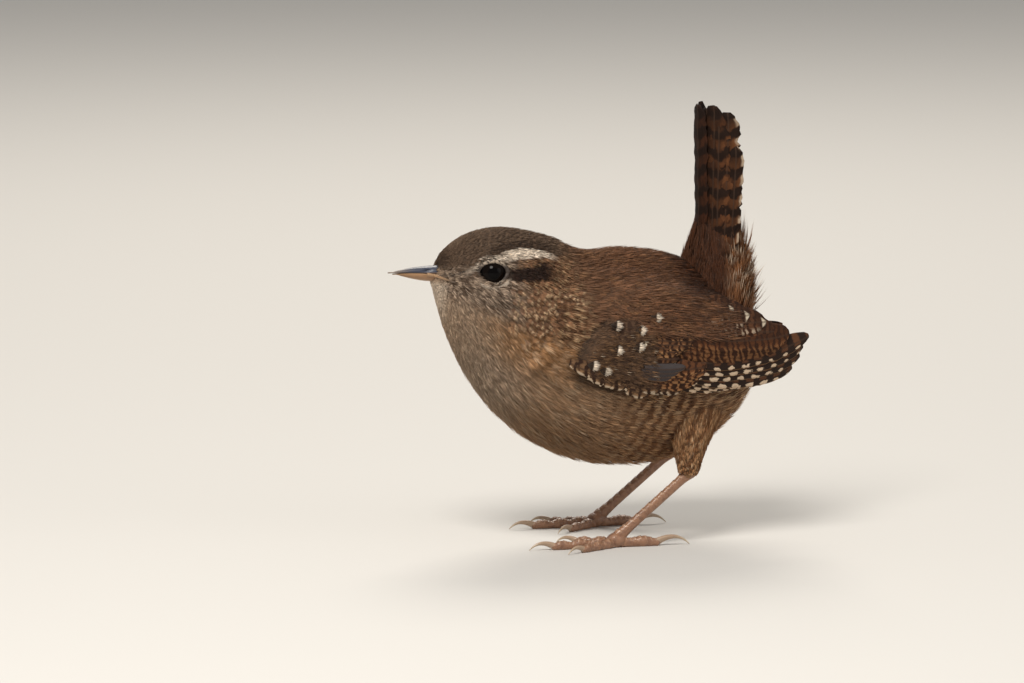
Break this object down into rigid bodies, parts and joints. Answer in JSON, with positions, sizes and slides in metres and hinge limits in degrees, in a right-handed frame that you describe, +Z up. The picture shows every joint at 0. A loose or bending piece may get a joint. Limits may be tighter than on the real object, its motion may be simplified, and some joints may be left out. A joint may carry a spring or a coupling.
{
  "type": "standing wren, life-size still model",
  "caption": "Life-size still model of a small brown songbird standing on both feet with its short tail cocked upright.",
  "frame": {"origin": "on the floor under the middle of the bird's bounding box", "axes": "+Z up, the bird faces -X, its left side is towards -Y"},
  "size_m": [0.0788, 0.0388, 0.0816],
  "materials": {
    "crown_feathers": "soft small feathers, grey-brown with fine darker streaks and a cream eyebrow",
    "back_feathers": "soft small feathers, warm brown with faint dark bars",
    "breast_feathers": "soft small feathers, pale greyish buff with fine mottling and barred flanks",
    "wing_feathers": "close vanes, rufous brown with narrow dark bars and pale spots",
    "tail_feathers": "close vanes, rufous brown with dark bars",
    "upper_bill": "dark horn with a soft shine",
    "lower_bill": "yellowish-pink horn with a soft shine",
    "eyes": "wet, near-black brown",
    "leg_skin": "scaled skin, pinkish brown",
    "claw_horn": "pale horn, slightly translucent at the tips"
  },
  "bodies": {
    "root": {"torso": "breast_feathers", "neck": "back_feathers", "head": "crown_feathers", "bill_upper": "upper_bill", "bill_lower": "lower_bill", "tail": "tail_feathers", "eye_left": "eyes", "wing_left": "wing_feathers", "thigh_left": "breast_feathers", "tarsus_left": "leg_skin", "foot_left": "leg_skin", "claw_left_inner": "claw_horn", "claw_left_middle": "claw_horn", "claw_left_outer": "claw_horn", "claw_left_hind": "claw_horn", "eye_right": "eyes", "wing_right": "wing_feathers", "thigh_right": "breast_feathers", "tarsus_right": "leg_skin", "foot_right": "leg_skin", "claw_right_inner": "claw_horn", "claw_right_middle": "claw_horn", "claw_right_outer": "claw_horn", "claw_right_hind": "claw_horn"}
  },
  "joints": []
}
